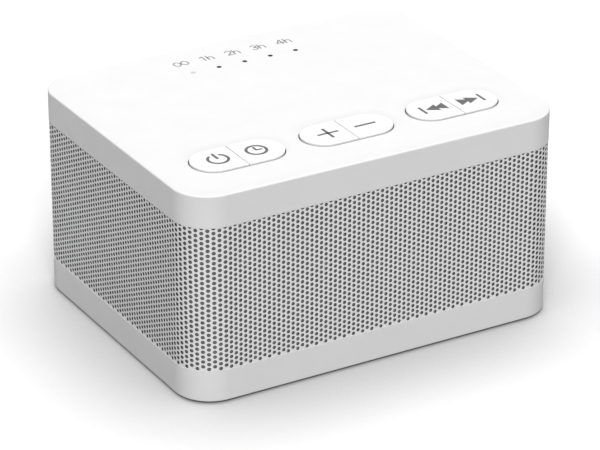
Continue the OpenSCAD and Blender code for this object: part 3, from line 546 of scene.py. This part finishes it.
def makeKey(name, pair, side):
    # half a pill, stepped in or out of its outline at each height, and its stem; the left half of a pair is
    # mirrored and its points run backwards
    k = keys
    points, out, carry = halfPill()
    top = k["top"] - k["ink"]
    turn = np.radians(np.linspace(0, 90, k["roundingPoints"]))
    roundIn, roundUp = k["rounding"] * (1 - np.cos(turn)), k["rounding"] * np.sin(turn) - k["rounding"]
    low, high = k["lipLow"], k["lipHigh"]
    ceiling = k["top"] - k["wall"]
    # rings of (step in on the rounded side, step in on the flat side, height), from the ceiling inside down, round
    # the lip, up the outer wall and over the rounded edge
    table = [(k["wall"], k["wall"], ceiling), (k["wall"], k["wall"], low), (-k["lip"], 0, low), (-k["lip"], 0, high),
             (0, 0, high), (0, 0, top - k["rounding"] - k["band"])]
    share = k["slitRounding"] / k["rounding"]
    table += [(a, a * share, top + b) for a, b in zip(roundIn, roundUp)]
    table += [(k["rounding"] + k["inset"], k["slitRounding"] + k["inset"], top)]
    steps = np.array(table)
    flatWay = np.stack([-carry, np.zeros_like(carry)], -1)
    rings = points[None] - steps[:, :1, None] * out[None] - steps[:, 1:2, None] * flatWay[None]
    rings = np.concatenate([rings, np.repeat(steps[:, 2:, None], len(points), 1)], 2)
    around = np.radians(np.arange(k["stemPoints"]) * 360 / k["stemPoints"])
    circle = np.stack([k["stemX"] + k["stemD"] / 2 * np.cos(around), k["stemD"] / 2 * np.sin(around)], -1)
    stem = np.stack([np.concatenate([circle, np.full((k["stemPoints"], 1), z)], 1)
                     for z in (k["stemLow"], ceiling + k["stemInto"])])
    parts = []
    for piece in (rings, stem):
        if side < 0:
            piece = piece[:, ::-1] * [-1, 1, 1]
        parts.append(loft(piece + [pair * k["pitch"], k["row"], 0]))
    made = makePiece("keyCap." + name, parts, "satinKeyAbs")
    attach(made, "key_%s_body" % name)
    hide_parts("key_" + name)


for name, (pair, side) in keyPlaces.items():
    makeKey(name, pair, side)
print("keys: %d caps" % len(keyPlaces))

# the signs on the keys: a broken ring with a bar, a clock, plus and minus, two triangles against a bar
signs = dict(ring=5.0, ringStroke=0.72, ringPoints=48, gap=35, barLow=0.35, barHigh=3.05, plus=5.75,
             plusStroke=0.72, minus=5.85, minusStroke=0.78, hand=0.6, handUp=1.55, handRight=1.35,
             barW=0.7, barH=4.2, barOut=3.58, triangleH=3.9, triangleW=3.35, overlap=1.05, barGap=0.5)
# a ribbon's round ends: the turns at which they get their points; a corner's two points beside it, as a share of
# the runs that meet there
stroke = dict(endTurns=np.radians([30, 60, 84]), nearCorner=0.03)


def ribbon(path, width, low, thick, endless=False):
    # a flat stroke: each point of the line is stepped half the width to both sides, square to its run, and the
    # stroke's ends are half circles
    path = np.asarray(path, float)
    half = np.full(len(path), width / 2)
    if endless:
        run = np.roll(path, -1, 0) - np.roll(path, 1, 0)
    else:
        run = np.gradient(path, axis=0)
        bow = stroke["endTurns"]
        unit = run / np.linalg.norm(run, axis=1, keepdims=True)
        before = path[0] - unit[0] * width / 2 * np.sin(bow[::-1])[:, None]
        after = path[-1] + unit[-1] * width / 2 * np.sin(bow)[:, None]
        path = np.concatenate([before, path, after])
        half = np.concatenate([width / 2 * np.cos(bow[::-1]), half, width / 2 * np.cos(bow)])
        run = np.concatenate([np.tile(run[0], (len(bow), 1)), run, np.tile(run[-1], (len(bow), 1))])
    run = run / np.linalg.norm(run, axis=1, keepdims=True)
    across = np.stack([-run[:, 1], run[:, 0]], -1) * half[:, None]
    left, right = path + across, path - across
    flat = np.stack([left, right, right, left], 1)
    heights = np.broadcast_to(np.array([low + thick, low + thick, low, low])[None, :, None], flat.shape[:2] + (1,))
    rings = np.concatenate([flat, heights], 2)
    return loft(rings[:, ::-1], endless)


def arcPath(x, y, rx, ry, start, end, count):
    # count points on an ellipse round (x, y), from the start to the end angle
    turn = np.radians(np.linspace(start, end, count))
    return np.stack([x + rx * np.cos(turn), y + ry * np.sin(turn)], -1)


def slab(corners, low, thick):
    # a flat plate with that outline
    corners = np.asarray(corners, float)
    return loft(np.stack([np.concatenate([corners, np.full((len(corners), 1), z)], 1) for z in (low, low + thick)]))


def linePath(*corners):
    # straight runs with points close to each corner, so that a ribbon keeps its width round it
    corners, near, last = np.array(corners, float), stroke["nearCorner"], len(corners) - 1
    t = np.concatenate([[0], *[[i + near, i + 0.5, i + (1 - near)] for i in range(last)], [last]])
    return np.stack([np.interp(t, np.arange(last + 1), corners[:, a]) for a in (0, 1)], -1)


def keySign(name, low, thick):
    # the parts of one key's sign, round the middle of its half of the pair
    s = signs
    if name == "power":
        ring = arcPath(0, 0, s["ring"] / 2, s["ring"] / 2, 90 + s["gap"], 450 - s["gap"], s["ringPoints"])
        return [ribbon(ring, s["ringStroke"], low, thick),
                ribbon(linePath((0, s["barLow"]), (0, s["barHigh"])), s["ringStroke"], low, thick)]
    if name == "timer":
        ring = arcPath(0, 0, s["ring"] / 2, s["ring"] / 2, 0, 360 - 360 / s["ringPoints"], s["ringPoints"])
        hands = linePath((0, s["handUp"]), (0, 0), (s["handRight"], 0))
        return [ribbon(ring, s["ringStroke"], low, thick, endless=True), ribbon(hands, s["hand"], low, thick)]
    if name in ("volume_up", "volume_down"):
        long, wide = (s["plus"], s["plusStroke"]) if name == "volume_up" else (s["minus"], s["minusStroke"])
        bar = np.array([[-1, -1], [1, -1], [1, 1], [-1, 1]]) * [long / 2, wide / 2]
        parts = [slab(bar, low, thick)]
        if name == "volume_up":
            parts.append(slab(bar[::-1, ::-1], low, thick))
        return parts
    way = -1 if name == "previous" else 1
    w, over, h = s["triangleW"], s["overlap"], s["triangleH"] / 2
    x = s["barOut"] - s["barW"]
    b = s["barH"] / 2
    bar = np.array([[x, -b], [x + s["barW"], -b], [x + s["barW"], b], [x, b]])
    # two overlapping triangles as one outline, which steps out again where the back of the second one stands
    x1 = x - s["barGap"] - w
    x0 = x1 - w + over
    waist = h * over / w
    arrow = np.array([[x0, -h], [x1, -waist], [x1, -h], [x1 + w, 0], [x1, h], [x1, waist], [x0, h]])
    return [slab((c if way > 0 else c[::-1]) * [way, 1], low, thick) for c in (arrow, bar)]


def shift(parts, x, y):
    # the same parts, x further right and y further back
    return [(points + [x, y, 0], faces) for points, faces in parts]


for name, (pair, side) in keyPlaces.items():
    parts = keySign(name, keys["top"] - keys["ink"], keys["ink"])
    parts = shift(parts, pair * keys["pitch"] + side * keys["stemX"], keys["row"])
    sign = makePiece("keySign." + name, parts, "padPrintedDark")
    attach(sign, "key_%s_body" % name)


# the timer signs behind the indicators, in light, even strokes from low to high over their line; the letter h has an
# arch of radius arch round archY, and its leg starts at legHigh
labels = dict(y=33.2, pitch=7.43, height=2.9, stroke=0.38, thick=0.015, top=54.8, low=0.15, high=2.75,
              arch=0.72, archY=1.15, archPoints=14, legHigh=1.0)
# the endless sign is x = a cos t + c cos 3t, y = b sin 2t, a little lowered
endlessSign = dict(a=1.75, b=1.2, c=0.2, lowered=0.1, step=5)
# the figures 1 to 4: straight runs and arcs from the figure's lower left corner, its width, and its gap to the h
figures = [
    dict(width=0.85, gap=1.05, paths=[linePath((0, 2.2), (0.85, 2.75), (0.85, 0.15))]),
    dict(width=1.6, gap=0.55, paths=[np.concatenate([arcPath(0.82, 1.98, 0.77, 0.77, 165, -30, 16),
                                                     linePath((1.2, 1.2), (0.1, 0.17), (1.65, 0.17))])]),
    dict(width=1.55, gap=0.55, paths=[arcPath(0.75, 2.08, 0.68, 0.66, 150, -90, 18),
                                      arcPath(0.75, 0.78, 0.76, 0.64, 90, -150, 18)]),
    dict(width=2.0, gap=0.55, paths=[linePath((1.5, 0.15), (1.5, 2.75), (0.05, 0.85), (2.05, 0.85))]),
]


def timerSign(i, low, thick):
    # the endless sign, or a figure and the letter h, centred on the indicator
    m, e = labels, endlessSign
    if i == 0:
        t = np.radians(np.arange(0, 360, e["step"]))
        loops = np.stack([e["a"] * np.cos(t) + e["c"] * np.cos(3 * t), e["b"] * np.sin(2 * t) - e["lowered"]], -1)
        return [ribbon(loops, m["stroke"], low, thick, endless=True)]
    figure = figures[i - 1]
    x = figure["width"] + figure["gap"]
    end = x + 2 * m["arch"]
    arch = arcPath(x + m["arch"], m["archY"], m["arch"], m["arch"], 180, 0, m["archPoints"])
    letter = [linePath((x, m["low"]), (x, m["high"])),
              np.concatenate([arch, linePath((end, m["legHigh"]), (end, m["low"]))])]
    return shift([ribbon(p, m["stroke"], low, thick) for p in figure["paths"] + letter], -end / 2, -m["height"] / 2)


timerParts = []
for i in range(1 + len(figures)):
    x = (i - len(figures) / 2) * labels["pitch"]
    timerParts += shift(timerSign(i, labels["top"], labels["thick"]), x, labels["y"])
timerSigns = makePiece("timerSigns", timerParts, "padPrintedGrey")
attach(timerSigns, "housing")
print("signs: %d on the keys, %d on the cover" % (len(keyPlaces), 1 + len(figures)))

# the socket's tongue in its moulded sleeve, with a row of contacts on both faces; front and back, start and end are
# depths behind the socket's mouth
socket = dict(sleeveX=3.29, sleeveZ=0.39, front=0.86, back=6.3, contacts=12, pitch=0.5, width=0.26, start=1.3,
              end=5.2, thick=0.02)


def socketSlab(x, halfX, start, end, low, thick):
    # a plate round x, from start to end behind the mouth and from low over the socket's middle
    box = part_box("power_inlet")
    mouth, middle = box[1].y / mm, (box[0].z + box[1].z) / 2 / mm
    corners = [(x - halfX, mouth - end), (x + halfX, mouth - end),
               (x + halfX, mouth - start), (x - halfX, mouth - start)]
    return slab(corners, middle + low, thick)


def makeSocket():
    s = socket
    sleeve = socketSlab(0, s["sleeveX"], s["front"], s["back"], -s["sleeveZ"], 2 * s["sleeveZ"])
    row = (np.arange(s["contacts"]) - (s["contacts"] - 1) / 2) * s["pitch"]
    contacts = [socketSlab(x, s["width"] / 2, s["start"], s["end"], low, s["thick"])
                for x in row for low in (s["sleeveZ"], -s["sleeveZ"] - s["thick"])]
    for name, parts, finish, slot in (("socketSleeve", [sleeve], "blackInnerAbs", "black_plastic"),
                                      ("socketContacts", contacts, "goldPlating", "inlet_steel")):
        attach(makePiece(name, parts, finish), "housing")
    print("socket: sleeve and %d contacts" % len(contacts))


makeSocket()

# the loudspeaker's half roll and spider are soft: the rim of each stays with the basket and its inner edge moves with
# the cone; each ring is made in sectors, and still is a reach inside the ring's outer edge and carried one outside
# its inner edge
softRings = dict(
    surround=dict(finish="mouldedButyl", slot="surround_rubber", sectors=12, thick=0.4, foot=0.9, still=0.9,
                  carried=0.3),
    spider=dict(finish="dippedCotton", slot="spider_cloth", sectors=8, thick=0.3, swing=0.5, waves=3, rim=1.5,
                still=1.2, carried=0.75),
    profilePoints=32, turnSteps=6)


def outerRadius(node):
    # a round node's radius is how far its box reaches along X
    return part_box(node)[1].x / mm


def rollProfile(look):
    # half a tube, open at the top, from the cone's edge to the flat foot on the basket: (radius, height)
    inner, rim = outerRadius("driver_cone"), outerRadius("driver_surround")
    outer = rim - look["foot"]
    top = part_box("driver_surround")[1].z / mm
    middle, half, thick = (inner + outer) / 2, (outer - inner) / 2, look["thick"]
    count = softRings["profilePoints"]
    below = np.linspace(math.pi, 2 * math.pi - math.asin(thick / half), count)
    above = np.linspace(2 * math.pi, math.pi, count)
    r = np.concatenate([middle + half * np.cos(below), [rim, rim], middle + (half - thick) * np.cos(above)])
    z = np.concatenate([half * np.sin(below), [-thick, 0], (half - thick) * np.sin(above)])
    return np.stack([r, top + z], -1), inner, outer


def spiderProfile(look):
    # waves of the radius, z = swing sin(2 pi waves k), from the coil to the flat rim on the basket's ledge
    low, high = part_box("driver_spider")
    middle, half = (low.z + high.z) / 2 / mm, look["thick"] / 2
    inner, rim = outerRadius("driver_coil"), outerRadius("driver_spider")
    outer = rim - look["rim"]
    k = np.linspace(0, 1, softRings["profilePoints"] * 2)
    wave = middle + look["swing"] * np.sin(2 * math.pi * look["waves"] * k)
    r = inner + (outer - inner) * k
    r = np.concatenate([r, [rim, rim], r[::-1]])
    z = np.concatenate([wave - half, [middle - half, middle + half], wave[::-1] + half])
    return np.stack([r, z], -1), inner, outer


def turned(profile, start, end):
    # a closed profile of (radius, height), run clockwise, turned about Z from start to end radians
    turn = np.linspace(start, end, softRings["turnSteps"] + 1)[:, None]
    r, z = profile[::-1].T
    return loft(np.stack([r * np.cos(turn), r * np.sin(turn), z + 0 * turn], -1))


def makeRing(ring, makeProfile):
    # equal sectors of the turned profile
    look = softRings[ring]
    profile, inner, outer = makeProfile(look)
    width = 2 * math.pi / look["sectors"]
    for k in range(look["sectors"]):
        made = makePiece("%sSector%d" % (ring, k + 1), [turned(profile, k * width, (k + 1) * width)],
                         look["finish"])
        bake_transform(made)
        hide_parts("driver_" + ring)
    print("%s: %d sectors" % (ring, look["sectors"]))


makeRing("surround", rollProfile)
makeRing("spider", spiderProfile)
